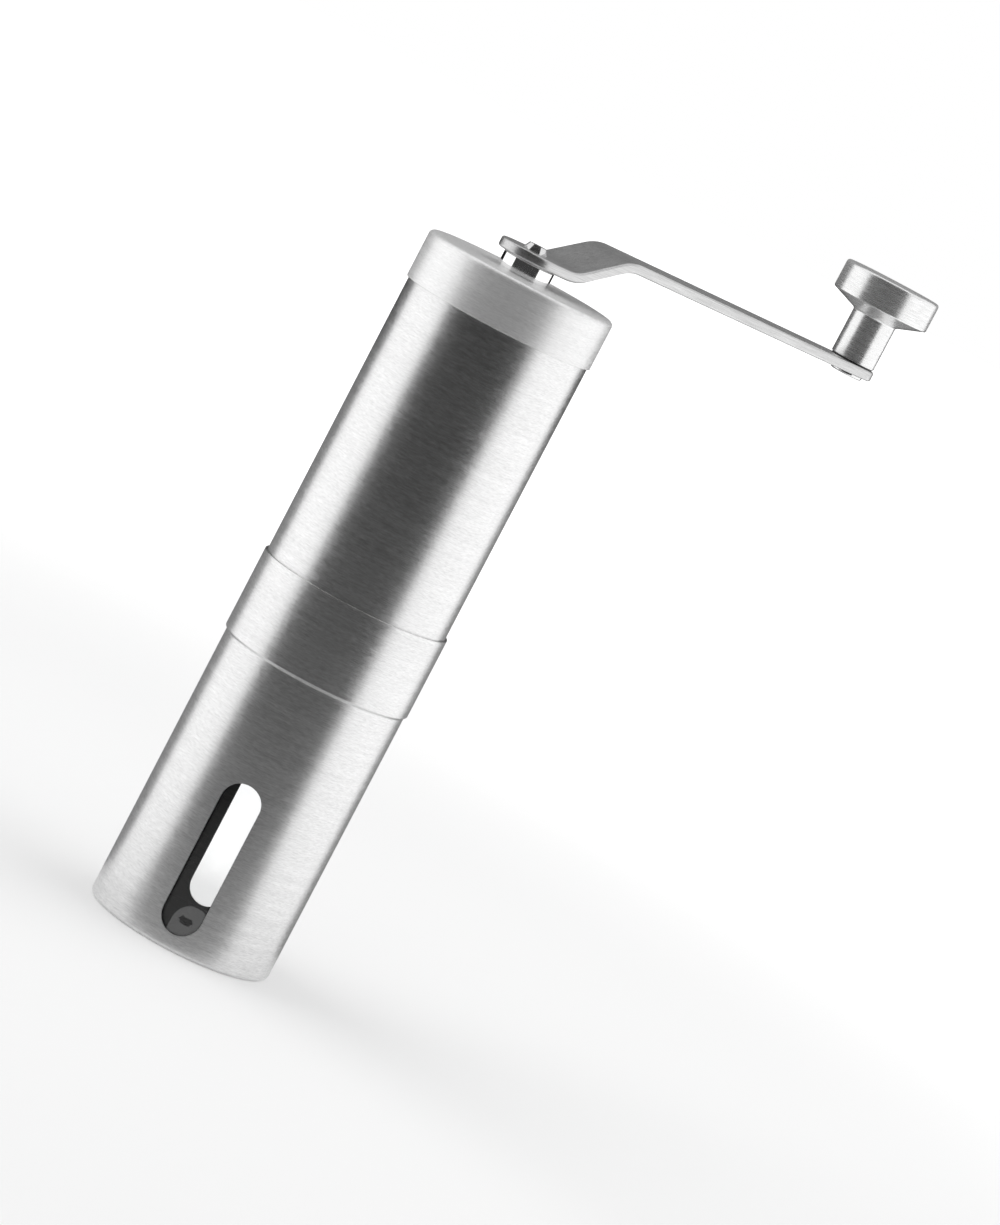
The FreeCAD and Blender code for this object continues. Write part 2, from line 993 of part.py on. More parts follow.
def crank_arm():
    """Bent steel strip: flat at the hub, one step up, then straight out to the knob."""
    slope = math.atan2(arm_rise, arm_fold_run)
    shift = arm_thick * math.tan(slope / 2)
    low = arm_low
    high = low + arm_rise
    near = -arm_hub_width
    far = crank_reach + arm_end_width
    fold = arm_fold_start
    fold_end = arm_fold_start + arm_fold_run
    outside = arm_bend_radius + arm_thick
    side = rounded_wire(
        [
            (near, low),
            (fold, low, outside),
            (fold_end, high, arm_bend_radius),
            (far, high),
            (far, high + arm_thick),
            (fold_end - shift, high + arm_thick, outside),
            (fold - shift, low + arm_thick, arm_bend_radius),
            (near, low + arm_thick),
        ]
    )
    strip = Part.Face(side).extrude(V(0, 2 * arm_hub_width, 0))
    strip.translate(V(0, -arm_hub_width, 0))
    plan = Part.Face(arm_outline())
    plan.translate(V(0, 0, low - past))
    arm = strip.common(plan.extrude(V(0, 0, arm_rise + arm_thick + 2 * past)))
    rims = [e for e in arm.Edges if not is_upright(e) and not crosses_strip(e)]
    arm = arm.makeFillet(arm_edge_round, rims)
    bore = Part.makeCylinder(
        spindle_dia / 2 + press_gap, arm_rise + 3 * arm_thick, V(crank_reach, 0, low), UP
    )
    arm = at_crank_angle(arm.cut(bore))
    return arm.cut(drive_prism(low - past, low + arm_thick + past, stub_gap))


def on_knob_axis(shape):
    """Moves a turned piece from the grinding axis to the knob's axis."""
    shape.translate(V(crank_reach, 0, 0))
    return at_crank_angle(shape)


def knob():
    """Turned knob: straight stem, cone, thick disc; bored for the spindle and its clip."""
    bore = spindle_dia / 2 + running_gap
    clip_bore = clip_dia / 2 + clip_gap
    stem_top = knob_low + knob_stem
    disc_low = stem_top + knob_cone
    disc_top = disc_low + knob_disc
    return on_knob_axis(
        turned(
            [
                (bore, knob_low),
                (knob_stem_dia / 2, knob_low, turned_round),
                (knob_stem_dia / 2, stem_top, knob_neck_round),
                (knob_dia / 2, disc_low, knob_edge / 2),
                (knob_dia / 2, disc_top, knob_edge),
                (0, disc_top),
                (0, spindle_top + clip_gap),
                (bore, spindle_top + clip_gap),
                (bore, clip_high + clip_gap),
                (clip_bore, clip_high + clip_gap),
                (clip_bore, clip_low - clip_gap),
                (bore, clip_low - clip_gap),
            ]
        )
    )


def knob_spindle():
    """Rivet through the arm's end that the knob turns on, grooved for the clip."""
    low = arm_top - arm_thick
    radius = spindle_dia / 2
    groove = radius - clip_groove
    return on_knob_axis(
        turned(
            [
                (0, low - spindle_head),
                (spindle_head_dia / 2, low - spindle_head, spindle_head_round),
                (spindle_head_dia / 2, low),
                (radius, low),
                (radius, clip_low),
                (groove, clip_low),
                (groove, clip_high),
                (radius, clip_high),
                (radius, spindle_top, clip_groove),
                (0, spindle_top),
            ]
        )
    )


def knob_clip():
    """Spring clip in the spindle's groove that keeps the knob on."""
    inner = spindle_dia / 2 - clip_groove + press_gap
    clip = ring(clip_dia / 2, inner, clip_low + press_gap, clip_high - press_gap)
    mouth = Part.makeBox(clip_dia, 2 * inner, clip_thick, V(0, -inner, clip_low))
    return on_knob_axis(clip.cut(mouth))


def knob_washer():
    """Dark washer between the arm and the knob's stem."""
    outer = knob_stem_dia / 2 - knob_washer_inset
    inner = spindle_dia / 2 + press_gap
    return on_knob_axis(ring(outer, inner, arm_top, knob_low - press_gap))


PIECES = [
    cup_shell,
    window_liner,
    barrel_shell,
    burr_carrier,
    ring_burr,
    ring_screws,
    shaft_column,
    lower_bush,
    upper_bush,
    shaft,
    drive_pin,
    drive_collar,
    thrust_washer,
    pressure_spring,
    spring_seat,
    inner_burr,
    burr_core,
    adjust_nut,
    nut_insert,
    lid_shell,
    lid_insert,
    lid_collar,
    crank_arm,
    knob_spindle,
    knob_washer,
    knob_clip,
    knob,
]


def main():
    """Builds each piece and writes it to its own file."""
    os.makedirs("parts", exist_ok=True)
    for piece in PIECES:
        piece().exportStep("parts/" + piece.__name__ + ".step")


main()
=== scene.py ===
import json
import math
from collections import namedtuple

import bmesh
import bpy
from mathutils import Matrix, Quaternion, Vector


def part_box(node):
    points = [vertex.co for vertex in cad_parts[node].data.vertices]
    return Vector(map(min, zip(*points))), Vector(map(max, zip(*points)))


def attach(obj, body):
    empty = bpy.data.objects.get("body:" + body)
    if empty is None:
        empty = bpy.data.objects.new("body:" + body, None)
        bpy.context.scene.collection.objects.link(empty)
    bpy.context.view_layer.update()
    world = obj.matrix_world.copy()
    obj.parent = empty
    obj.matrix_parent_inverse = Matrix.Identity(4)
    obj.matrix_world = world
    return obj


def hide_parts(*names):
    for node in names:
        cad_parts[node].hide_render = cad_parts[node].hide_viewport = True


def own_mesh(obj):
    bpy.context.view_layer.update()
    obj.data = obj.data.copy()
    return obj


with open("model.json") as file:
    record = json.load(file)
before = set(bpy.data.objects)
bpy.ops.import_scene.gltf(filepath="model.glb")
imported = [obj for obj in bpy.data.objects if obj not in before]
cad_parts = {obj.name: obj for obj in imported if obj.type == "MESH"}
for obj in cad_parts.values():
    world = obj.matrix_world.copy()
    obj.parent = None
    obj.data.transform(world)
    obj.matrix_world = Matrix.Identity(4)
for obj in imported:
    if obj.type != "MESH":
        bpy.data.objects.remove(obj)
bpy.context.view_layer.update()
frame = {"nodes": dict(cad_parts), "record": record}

# Looks of a hand crank coffee grinder: brushed steel barrel, cup and lid, a bent crank with a
# turned knob, ceramic burrs and a black adjusting nut. Lengths are in millimetres, and the
# pieces stand where the frame has them.
MM = 0.001
NOTHING = 1e-6

# How finely round pieces are drawn
SEGMENTS = 192
ARC_STEPS = 6
SHARP_ANGLE = math.radians(35)

# Steel shells
sheet = 0.5
slip_gap = 0.1
edge_round = 0.12
step_round = 0.5
cup_corner = 1.0
foot_width = 3.0
base_recess = 1.8
lid_corner = 1.2

# Windows of the cup and the clear liner behind them
window_width = 10.0
window_length = 39.5
window_sill = 4.0
window_columns = 28
liner_wall = 1.2
liner_floor = 1.2
gate_dia = 3.6
gate_top_dia = 2.4
gate_height = 0.9
gate_round = 0.3

# Collar, drive and thread
collar_bore = 8.0
collar_spigot = 1.2
collar_round = 0.5
press_gap = 0.02
stub_across = 5.5
stub_sides = 6
stub_columns = 96
stub_taper = 1.8
stub_tip_dia = 4.4
stub_edge = 0.15
shaft_dia = 6.0
thread_pitch = 1.0
thread_depth = 0.55
thread_length = 26.0
thread_chamfer = 0.8
thread_flank = 1.3
thread_columns = 40
thread_rows = 10

# Crank and knob
crank_direction = 45.0
knob_stem_dia = 11.6
knob_stem = 11.8
knob_cone = 2.6
knob_edge = 0.8
knob_neck_round = 0.6
knob_bore = 5.1
knob_bore_depth = 16.0

# Pressure spring
spring_wire = 1.1
spring_dia = 10.6
spring_turns = 4.5
spring_closed = 0.8
spring_end_gap = 0.1
spring_points = 40
spring_sides = 14

# Screws of the ring burr
screw_head_dia = 4.4
screw_round = 0.7
screw_dia = 2.2
screw_overlap = 0.5
screw_turns = (30.0, 150.0, 270.0)
screw_columns = 64
recess_length = 2.4
recess_width = 0.7
recess_depth = 0.8
recess_taper = 0.7

# Materials: noise and the part of its range that is used, the turn of brushed highlights, and
# the patches and gloss of plastic
noise_detail = 3.0
noise_roughness = 0.6
noise_low = 0.3
noise_high = 0.7
quarter_turn = 0.25
patch_size = 6.0
plain_specular = 0.5
gloss_specular = 0.5
coat_roughness = 0.1

# Sockets of a Mix node that take two colours and give their mixture
COLOUR_A = 6
COLOUR_B = 7
COLOUR_MIXED = 2

# Camera, as the photograph was taken: a little to the right of the window and above the grinder,
# and rolled so that the grinder leans. The scale is in pixels of the photograph per millimetre
view_azimuth = 1.8
view_elevation = 7.0
view_lean = 27.75
view_distance = 1200.0
view_scale = 4.25
image_height = 1225
sensor = 36.0
aim = Vector((32.0, 0.0, 104.0))

# Studio, in metres: a wide floor that glows more away from the grinder and in reflections, with
# painted shade in its reflections close to the grinder, and the grey of its sky
floor_half = 6.0
floor_drop = 0.00005
floor_near = 0.25
floor_far = 1.1
floor_glow = 0.22
floor_mirror = 0.45
painted_reflection_shade_near = 0.02
painted_reflection_shade_far = 0.12
floor_grey = 0.7
sky_grey = 0.5

# Lamps: place, width and height in metres, and power in watts
lamp_target = Vector((0.0, 0.0, 0.15))
lamps = {
    "left_box": ((-0.75, -0.05, 0.45), 1.0, 1.2, 5.0),
    "right_box": ((0.75, 0.20, 0.45), 1.6, 1.2, 6.0),
    "top_box": ((0.0, -0.1, 1.3), 1.0, 1.0, 3.0),
}

# Cards that only reflections show, in metres: a dark one before the grinder and a grey one behind,
# each upright with a foot that narrows towards the grinder. The front foot is paler there, and a
# strip before the back card darkens the edges of the knob
front_ends = ((-0.50, -0.32), (0.475, -0.32))
front_high = 1.2
front_grey = 0.05
front_foot_far = 0.05
front_foot_near = 0.45
back_ends = ((-0.45, 0.30), (0.25, 0.30))
back_high = 0.7
back_grey = 0.24
back_spread = 0.03
foot_near = 0.08
foot_far = 0.35
foot_lift = 0.0005
strip_ends = ((-0.45, 0.295), (0.25, 0.295))
strip_low = 0.12
strip_high = 0.20
strip_grey = 0.01


# Measures of the frame


def low(node):
    """Height of a node's lowest point."""
    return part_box(node)[0].z / MM


def high(node):
    """Height of a node's highest point."""
    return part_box(node)[1].z / MM


def radius(node):
    """Outer radius of a node that is turned about the grinding axis."""
    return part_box(node)[1].x / MM


def knob_axis():
    """Where the knob's axis stands, in plan."""
    lowest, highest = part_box("knob")
    return (lowest.x + highest.x) / 2, (lowest.y + highest.y) / 2


# Meshes

Row = namedtuple("Row", "radius height before after")


def outline(corners):
    """Rows of a turned piece from (radius, height, rounding) corners, material on their left."""
    rows = []
    for i, corner in enumerate(corners):
        here = Vector(corner[:2])
        ahead = Vector(corners[(i + 1) % len(corners)][:2])
        way_in = (here - Vector(corners[i - 1][:2])).normalized()
        way_out = (ahead - here).normalized()
        before = Vector((way_in.y, -way_in.x))
        after = Vector((way_out.y, -way_out.x))
        rounding = corner[2] if len(corner) > 2 else 0.0
        if rounding == 0.0:
            rows.append(Row(here.x, here.y, before, after))
            continue
        turn = math.atan2(before.x * after.y - before.y * after.x, before.dot(after))
        side = math.copysign(rounding, turn)
        start = here - way_in * rounding * math.tan(abs(turn) / 2)
        centre = start - before * side
        for k in range(ARC_STEPS + 1):
            angle = math.atan2(before.y, before.x) + turn * k / ARC_STEPS
            normal = Vector((math.cos(angle), math.sin(angle)))
            spot = centre + normal * side
            rows.append(Row(spot.x, spot.y, normal, normal))
    return rows


class Surface:
    """Vertices, faces and corner normals of a piece, gathered before its mesh is made."""

    def __init__(self):
        self.vertices = []
        self.faces = []
        self.normals = []
        self.second = []

    def revolve(self, rows, columns, is_open=None, inside=None):
        """Turns rows about the axis.

        is_open leaves out a face, and the rows from inside on take the piece's second material.
        """
        count = len(columns)
        rings = []
        for row in rows:
            ring = []
            for angle in columns if row.radius > NOTHING else columns[:1]:
                ring.append(len(self.vertices))
                self.vertices.append(polar(row.radius, angle, row.height))
            rings.append(ring * count if len(ring) == 1 else ring)
        for i, row in enumerate(rows):
            k = (i + 1) % len(rows)
            for j in range(count):
                after = (j + 1) % count
                if is_open and is_open(i, j):
                    continue
                corners = [(i, j), (i, after), (k, after), (k, j)]
                normals = [row.after, row.after, rows[k].before, rows[k].before]
                if self.quad(rings, columns, corners, normals):
                    self.second.append(inside is not None and i >= inside)
        return rings

    def quad(self, rings, columns, corners, normals):
        """Adds one face of a turned surface, without the corners that fall together."""
        face = []
        shades = []
        for (i, j), normal in zip(corners, normals):
            if rings[i][j] in face:
                continue
            face.append(rings[i][j])
            shades.append(polar(normal.x, columns[j], normal.y))
        if len(face) < 3:
            return False
        self.faces.append(face)
        self.normals += shades
        return True

    def flat_face(self, face):
        """Adds one face with its own flat normal."""
        a, b, c = (self.vertices[i] for i in face[:3])
        normal = (b - a).cross(c - a).normalized()
        self.faces.append(face)
        self.normals += [normal] * len(face)
        self.second.append(False)

    def piece(self, name):
        """Makes the mesh object, in metres."""
        mesh = bpy.data.meshes.new(name)
        mesh.from_pydata([v * MM for v in self.vertices], [], self.faces)
        mesh.shade_smooth()
        mesh.polygons.foreach_set("material_index", [int(second) for second in self.second])
        mesh.normals_split_custom_set(self.normals)
        return link(bpy.data.objects.new(name, mesh))


def link(obj):
    """Puts an object into the scene."""
    bpy.context.scene.collection.objects.link(obj)
    return obj


def even_columns(count=SEGMENTS):
    """Directions spread evenly round the axis."""
    return [2 * math.pi * j / count for j in range(count)]


def polar(reach, angle, height):
    """A point at a radius, direction and height."""
    return Vector((reach * math.cos(angle), reach * math.sin(angle), height))


def turned(name, corners):
    """A piece turned about the grinding axis."""
    surface = Surface()
    surface.revolve(outline(corners), even_columns())
    return surface.piece(name)


def lofted(name, *lofts):
    """A piece skinned over rings of points, or over several such lofts, closed at their ends."""
    mesh = bmesh.new()
    for rings in lofts:
        rows = [[mesh.verts.new(point * MM) for point in ring] for ring in rings]
        for first, second in zip(rows, rows[1:]):
            for j in range(len(first)):
                k = (j + 1) % len(first)
                mesh.faces.new([first[j], first[k], second[k], second[j]])
        mesh.faces.new(reversed(rows[0]))
        mesh.faces.new(rows[-1])
    data = bpy.data.meshes.new(name)
    mesh.to_mesh(data)
    mesh.free()
    data.shade_smooth()
    data.set_sharp_from_angle(angle=SHARP_ANGLE)
    return link(bpy.data.objects.new(name, data))


def row_at(rows, reach, height):
    """Index of the row nearest to a radius and height."""
    return min(range(len(rows)), key=lambda i: math.dist(rows[i][:2], (reach, height)))


def place(piece, body, node, slot, *materials):
    """Lets a piece ride on a body in the place of its node, with its materials."""
    for material in materials:
        piece.data.materials.append(material)
    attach(piece, body)
    if node:
        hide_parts(node)
    return piece


# Steel shells


def window_layout(wall):
    """Directions round the cup, with close steps in each window, and which of them are inside."""
    reach = math.asin(window_width / 2 / wall)
    columns = []
    inside = []
    plain = SEGMENTS // 2 - window_columns
    for centre in (-math.pi / 2, math.pi / 2):
        for k in range(window_columns):
            columns.append(centre - reach * math.cos(math.pi * k / window_columns))
            inside.append(True)
        for k in range(plain):
            columns.append(centre + reach + (math.pi - 2 * reach) * k / plain)
            inside.append(False)
    return columns, inside


def cup_shell():
    """Drawn cup with a recessed base, two round-ended windows and a socket for the barrel."""
    wall = radius("barrel_shell")
    bore = wall - sheet
    socket = wall + slip_gap
    shelf = low("barrel_shell")
    top = high("cup_shell")
    foot = wall - foot_width
    half = window_width / 2
    sill = window_sill + half
    head = window_sill + window_length - half
    rows = outline(
        [
            (0, base_recess),
            (foot, base_recess),
            (foot, 0, sheet / 2),
            (wall, 0, cup_corner),
            (wall, sill),
            (wall, head),
            (wall, shelf - 2 * sheet - slip_gap, step_round),
            (socket + sheet, shelf - sheet, step_round),
            (socket + sheet, top, edge_round),
            (socket, top, edge_round),
            (socket, shelf),
            (bore, shelf, edge_round),
            (bore, head),
            (bore, sill),
            (bore, sheet, cup_corner - sheet),
            (foot + sheet, sheet),
            (foot + sheet, base_recess + sheet),
            (0, base_recess + sheet),
        ]
    )
    columns, inside = window_layout(wall)
    outer_sill = row_at(rows, wall, sill)
    inner_head = row_at(rows, bore, head)
    surface = Surface()
    rings = surface.revolve(
        rows,
        columns,
        lambda i, j: inside[j] and i in (outer_sill, inner_head),
        inside=row_at(rows, bore, shelf - edge_round),
    )
    sill_out, head_out = rings[outer_sill], rings[outer_sill + 1]
    head_in, sill_in = rings[inner_head], rings[inner_head + 1]
    for j, angle in enumerate(columns):
        if not inside[j]:
            continue
        across = min(abs(wall * math.cos(angle)), half)
        drop = math.sqrt(half**2 - across**2)
        for ring, sign in ((sill_out, -1), (sill_in, -1), (head_out, 1), (head_in, 1)):
            surface.vertices[ring[j]].z += sign * drop
    for j in range(len(columns)):
        k = (j + 1) % len(columns)
        if not inside[j]:
            continue
        surface.flat_face([sill_out[j], sill_out[k], sill_in[k], sill_in[j]])
        surface.flat_face([head_out[k], head_out[j], head_in[j], head_in[k]])
        if not inside[j - 1]:
            surface.flat_face([sill_out[j], sill_in[j], head_in[j], head_out[j]])
        if not inside[k]:
            surface.flat_face([head_out[k], head_in[k], sill_in[k], sill_out[k]])
    return surface.piece("cup_wall")


def window_liner():
    """Clear cup inside the steel one, with the stub of its sprue on the floor."""
    outer = radius("window_liner")
    inner = outer - liner_wall
    base = low("window_liner")
    top = high("window_liner")
    floor = base + liner_floor
    return turned(
        "clear_liner",
        [
            (0, base),
            (outer, base, liner_wall),
            (outer, top, edge_round),
            (inner, top, edge_round),
            (inner, floor, liner_wall / 2),
            (gate_dia / 2, floor, gate_round),
            (gate_top_dia / 2, floor + gate_height, gate_round),
            (0, floor + gate_height),
        ],
    )


def barrel_shell():
    """Plain tube with softened edges."""
    wall = radius("barrel_shell")
    bore = wall - sheet
    return turned(
        "barrel_tube",
        [
            (bore, low("barrel_shell"), edge_round),
            (wall, low("barrel_shell"), edge_round),
            (wall, high("barrel_shell"), edge_round),
            (bore, high("barrel_shell"), edge_round),
        ],
    )


def lid_shell():
    """Spun cap with a rounded shoulder."""
    outer = radius("lid_shell")
    inner = outer - sheet
    hole = collar_bore / 2 + collar_spigot + press_gap
    top = high("lid_shell")
    bottom = low("lid_shell")
    return turned(
        "lid_cap",
        [
            (hole, top - sheet),
            (inner, top - sheet, lid_corner - sheet),
            (inner, bottom, edge_round),
            (outer, bottom, edge_round),
            (outer, top, lid_corner),
            (hole, top),
        ],
    )


def lid_collar():
    """Polished collar on the lid."""
    bore = collar_bore / 2
    spigot = bore + collar_spigot
    plate = high("lid_shell")
    return turned(
        "collar_ring",
        [
            (bore, plate - sheet),
            (spigot, plate - sheet),
            (spigot, plate),
            (radius("lid_collar"), plate),
            (radius("lid_collar"), high("lid_collar"), collar_round),
            (bore, high("lid_collar"), edge_round),
        ],
    )


# Crank and drive


def knob():
    """Turned knob: stem, cone and thick disc with softened edges."""
    lowest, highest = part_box("knob")
    bottom = low("knob")
    top = high("knob")
    disc = (highest.x - lowest.x) / 2 / MM
    stem = knob_stem_dia / 2
    bore = knob_bore / 2
    piece = turned(
        "knob_turning",
        [
            (bore, bottom),
            (stem, bottom, edge_round),
            (stem, bottom + knob_stem, knob_neck_round),
            (disc, bottom + knob_stem + knob_cone, knob_edge / 2),
            (disc, top, knob_edge),
            (0, top),
            (0, bottom + knob_bore_depth),
            (bore, bottom + knob_bore_depth),
        ],
    )
    piece.location.xy = knob_axis()
    return piece


def shaft_bar():
    """Plain round middle of the shaft."""
    bar = shaft_dia / 2
    bottom = low("shaft") + thread_length
    top = high("drive_collar")
    return turned("shaft_bar", [(0, bottom), (bar, bottom), (bar, top), (0, top)])


def shaft_drive():
    """Six-sided upper end of the shaft, with its tip turned to a cone."""
    flat = stub_across / 2
    side = 2 * math.pi / stub_sides
    corner = flat / math.cos(side / 2)
    tip = stub_tip_dia / 2
    bottom = high("drive_collar")
    top = high("shaft")
    rings = [[], [], [], []]
    for angle in even_columns(stub_columns):
        reach = flat / math.cos(angle % side - side / 2)
        shoulder = top - stub_taper * (reach - tip) / (corner - tip)
        rings[0].append(polar(reach, angle, bottom))
        rings[1].append(polar(reach, angle, shoulder - stub_edge))
        rings[2].append(polar(reach, angle, shoulder))
        rings[3].append(polar(tip, angle, top))
    return lofted("shaft_drive", rings)


def shaft_thread():
    """Screw-cut lower end of the shaft: a ridge that winds up the bar."""
    crest = shaft_dia / 2
    bottom = low("shaft")
    steps = int(thread_length / thread_pitch * thread_rows)
    rings = []
    for i in range(steps + 1):
        height = thread_length * i / steps
        ring = []
        for angle in even_columns(thread_columns):
            phase = (height / thread_pitch - angle / (2 * math.pi)) % 1.0
            groove = thread_depth * min(1.0, thread_flank * abs(2 * phase - 1))
            chamfer = thread_chamfer - height
            ring.append(polar(crest - max(groove, chamfer), angle, bottom + height))
        rings.append(ring)
    return lofted("shaft_thread", rings)


def pressure_spring():
    """Round wire wound into a spring with closed end turns."""
    mean = (spring_dia - spring_wire) / 2
    bottom = high("spring_seat") + spring_end_gap + spring_wire / 2
    top = low("lower_bush") - spring_end_gap - spring_wire / 2
    steps = int(spring_turns * spring_points)
    climbs = []
    for i in range(steps + 1):
        turn = spring_turns * i / steps
        ends = min(turn, spring_turns - turn)
        climbs.append(min(1.0, (ends / spring_closed) ** 2))
    slope = (top - bottom) / sum(climbs[1:])
    height = bottom
    rings = []
    for i in range(steps + 1):
        height += slope * climbs[i]
        angle = 2 * math.pi * spring_turns * i / steps
        ring = []
        for side in even_columns(spring_sides):
            reach = mean + spring_wire / 2 * math.cos(side)
            ring.append(polar(reach, angle, height - spring_wire / 2 * math.sin(side)))
        rings.append(ring)
    return lofted("spring_wire", rings)


def cross_radius(angle, scale):
    """Edge of a cross recess in one direction."""
    across = abs(math.cos(angle)) + NOTHING
    along = abs(math.sin(angle)) + NOTHING
    arm = max(
        min(recess_length / across, recess_width / along),
        min(recess_width / across, recess_length / along),
    )
    return arm / 2 * scale


def ring_screws():
    """Screws that hold the ring burr, with a cross recess in each domed head."""
    head = screw_head_dia / 2
    shank = screw_dia / 2
    face = low("ring_screws")
    seat = low("ring_burr")
    columns = even_columns(screw_columns)
    recess = [
        [polar(cross_radius(angle, recess_taper), angle, face + recess_depth) for angle in columns],
        [polar(cross_radius(angle, 1.0), angle, face) for angle in columns],
    ]
    rows = outline(
        [
            (0, face),
            (head, face, screw_round),
            (head, seat),
            (shank, seat),
            (shank, high("ring_screws")),
        ]
    )
    body = [[polar(row.radius, angle, row.height) for angle in columns] for row in rows[1:]]
    circle = radius("ring_burr") + head - screw_overlap
    lofts = []
    for turn in screw_turns:
        centre = polar(circle, math.radians(turn), 0.0)
        lofts.append([[centre + point for point in ring] for ring in recess + body])
    return lofted("screw_set", *lofts)


# Materials


class Look:
    """A material, or the world in its place, and short calls for its nodes."""

    def __init__(self, name, owner=None):
        self.material = owner or bpy.data.materials.new(name)
        self.material.use_nodes = True
        self.nodes = self.material.node_tree.nodes
        self.links = self.material.node_tree.links
        self.shader = self.nodes.get("Principled BSDF")
        self.output = self.nodes.get("Material Output") or self.nodes.get("World Output")

    def put(self, value, socket):
        """Sets a socket, or links it where the value is another node's output."""
        if isinstance(value, bpy.types.NodeSocket):
            self.links.new(value, socket)
        else:
            socket.default_value = value

    def node(self, kind, inputs=(), **settings):
        """Adds a node with its settings and (socket, value) inputs."""
        made = self.nodes.new("ShaderNode" + kind)
        for key, value in settings.items():
            setattr(made, key, value)
        for key, value in inputs:
            self.put(value, made.inputs[key])
        return made

    def math(self, operation, a, b=0.0):
        """One sum on two values."""
        return self.node("Math", [(0, a), (1, b)], operation=operation).outputs[0]

    def shade(self, **sockets):
        """Sets the shader's sockets, given with underscores for spaces."""
        for key, value in sockets.items():
            self.put(value, self.shader.inputs[key.replace("_", " ")])

    def finish(self, marks, tint, rough, **sockets):
        """Lets colour and roughness vary together with the marks, and sets other sockets."""
        colour = self.tint(marks, *tint)
        self.shade(Base_Color=colour, Roughness=self.span(marks, *rough), **sockets)

    def mix(self, share, first, second):
        """A shader between two others, by a share from 0 to 1."""
        inputs = [(0, share), (1, first.outputs[0]), (2, second.outputs[0])]
        return self.node("MixShader", inputs)

    def surface(self, shader):
        """Shows a shader in place of the one that the material began with."""
        self.put(shader.outputs[0], self.output.inputs["Surface"])

    def span(self, value, lowest, highest):
        """Spreads a value from 0 to 1 over a range."""
        inputs = [("Value", value), ("To Min", lowest), ("To Max", highest)]
        return self.node("MapRange", inputs).outputs["Result"]

    def tint(self, value, dark, light):
        """A grey or colour between two, by a value from 0 to 1."""
        inputs = [(0, value), (COLOUR_A, (*dark, 1.0)), (COLOUR_B, (*light, 1.0))]
        return self.node("Mix", inputs, data_type="RGBA").outputs[COLOUR_MIXED]

    def place(self):
        """Coordinates in the piece's own space, in metres."""
        return self.node("TexCoord").outputs["Object"]

    def noise(self, vector, scale=1.0):
        """Noise stretched to run from 0 to 1."""
        inputs = [("Vector", vector), ("Scale", scale), ("Detail", noise_detail)]
        raw = self.node("TexNoise", [*inputs, ("Roughness", noise_roughness)]).outputs["Fac"]
        inputs = [("Value", raw), ("From Min", noise_low), ("From Max", noise_high)]
        return self.node("MapRange", inputs).outputs["Result"]

    def grain_round(self, length, width):
        """Streaks that run round the axis, on the sides and on level faces alike."""
        parts = self.node("SeparateXYZ", [("Vector", self.place())]).outputs
        flat = self.node("CombineXYZ", [("X", parts["X"]), ("Y", parts["Y"])]).outputs[0]
        reach = self.node("VectorMath", [(0, flat)], operation="LENGTH").outputs["Value"]
        rise = self.math("ADD", parts["Z"], reach)
        vector = self.node(
            "CombineXYZ",
            [
                ("X", self.math("DIVIDE", parts["X"], length * MM)),
                ("Y", self.math("DIVIDE", parts["Y"], length * MM)),
                ("Z", self.math("DIVIDE", rise, width * MM)),
            ],
        ).outputs[0]
        return self.noise(vector)

    def grain_along(self, direction, length, width):
        """Streaks that run one way, given in degrees in plan."""
        turn = (0, 0, -math.radians(direction))
        scale = (1 / (length * MM), 1 / (width * MM), 1 / (width * MM))
        turned_place = self.node(
            "VectorRotate",
            [("Vector", self.place()), ("Rotation", turn)],
            rotation_type="EULER_XYZ",
        ).outputs[0]
        vector = self.node(
            "VectorMath", [(0, turned_place), (1, scale)], operation="MULTIPLY"
        ).outputs["Vector"]
        return self.noise(vector)

    def speckle(self, size):
        """Even noise with grains of that size."""
        return self.noise(self.place(), 1 / (size * MM))

    def layered(self, fine, broad, share):
        """Fine marks over broad ones, with that share of the whole."""
        over = self.math("MULTIPLY", fine, share)
        return self.math("ADD", over, self.math("MULTIPLY", broad, 1 - share))

    def outward(self, first, last, inner, outer):
        """A value that runs from inner to outer between two distances from the origin."""
        reach = self.node("VectorMath", [(0, self.place())], operation="LENGTH").outputs["Value"]
        ends = [("From Min", first), ("From Max", last), ("To Min", inner), ("To Max", outer)]
        ramp = self.node("MapRange", [("Value", reach), *ends], interpolation_type="SMOOTHSTEP")
        return ramp.outputs["Result"]

    def seen_directly(self):
        """1 where the camera, a reflection or clear plastic looks, and 0 for soft light."""
        path = self.node("LightPath").outputs
        first = self.math("MAXIMUM", path["Is Camera Ray"], path["Is Glossy Ray"])
        return self.math("MAXIMUM", first, path["Is Transmission Ray"])

    def draw_out(self, pull):
        """Draws highlights out along the axis, as brushing round it does."""
        tangent = self.node("Tangent", direction_type="RADIAL", axis="Z").outputs[0]
        self.shade(Anisotropic=pull, Anisotropic_Rotation=quarter_turn, Tangent=tangent)

    def bump(self, value, depth):
        """Raises the surface by a value, up to that depth."""
        inputs = [("Height", value), ("Distance", depth * MM), ("Strength", 1.0)]
        self.shade(Normal=self.node("Bump", inputs).outputs["Normal"])


def grey(value):
    """A neutral colour."""
    return (value, value, value)


def greys(dark, light):
    """Two neutral colours."""
    return grey(dark), grey(light)


def brushed_steel(name, tint, rough, pull, mirror=1.0):
    """Stainless sheet, brushed round the axis.

    pull is how far the brushing draws out highlights, and mirror how much of the light it
    reflects like a mirror and does not scatter.
    """
    look = Look(name)
    fine = look.grain_round(length=1.6, width=0.22)
    broad = look.grain_round(length=30.0, width=0.9)
    look.finish(look.layered(fine, broad, share=0.7), tint, rough, Metallic=mirror)
    look.draw_out(pull)
    look.bump(fine, depth=0.014)
    return look.material


